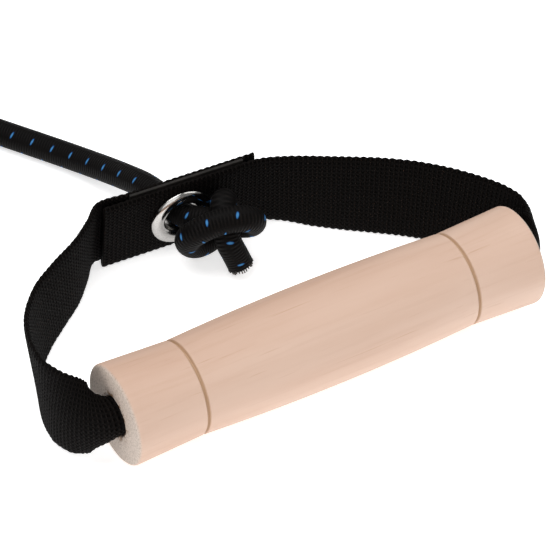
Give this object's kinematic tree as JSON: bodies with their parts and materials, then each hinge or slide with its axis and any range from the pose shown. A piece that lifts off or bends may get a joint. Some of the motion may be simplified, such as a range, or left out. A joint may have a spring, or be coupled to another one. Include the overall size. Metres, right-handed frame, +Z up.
{
  "type": "pull handle",
  "caption": "Turned wooden hand grip on a webbing loop whose overlapped ends are clamped by a metal eyelet, through which an elastic cord passes to a stopper knot.",
  "frame": {"origin": "middle of the handle's footprint, measured without its cord, on the surface it lies on", "axes": "+X along the wooden grip, +Y from the grip to the lapped webbing and its eyelet, +Z up from the surface it lies on"},
  "size_m": [0.2149, 0.2109, 0.0303],
  "materials": {
    "beech": "sanded bare beech, matt",
    "webbing": "black woven webbing, matt",
    "stiffener": "thin brown-grey plate, satin edge",
    "nickel": "nickel plated, bright",
    "sheath": "black braided sheath with blue tracer threads",
    "rubber": "latex strands, matt",
    "tie": "black strip, matt"
  },
  "bodies": {
    "strap": {"strap_inner_run": "webbing", "strap_left_side": "webbing", "strap_right_side": "webbing", "strap_front_end": "webbing", "strap_back_end": "webbing", "lap_stiffener": "stiffener", "eyelet_barrel": "nickel", "eyelet_washer": "nickel"},
    "grip": {"wooden_grip": "beech"},
    "cord": {"cord_lead": "sheath", "front_knot": "sheath", "tail_core": "rubber", "cord_coil": "sheath", "cord_end": "sheath", "far_knot": "sheath", "coil_tie": "tie"}
  },
  "joints": [
    {"name": "grip_spin", "type": "hinge", "parent": "strap", "child": "grip", "pos_m": [0.00239, -0.02981, 0.01515], "axis": [1, 0, 0], "continuous": true},
    {"name": "cord_slide", "type": "slide", "parent": "strap", "child": "cord", "axis": [0.0702, -0.9975, 0.01], "range_m": [0, 0.003]}
  ]
}
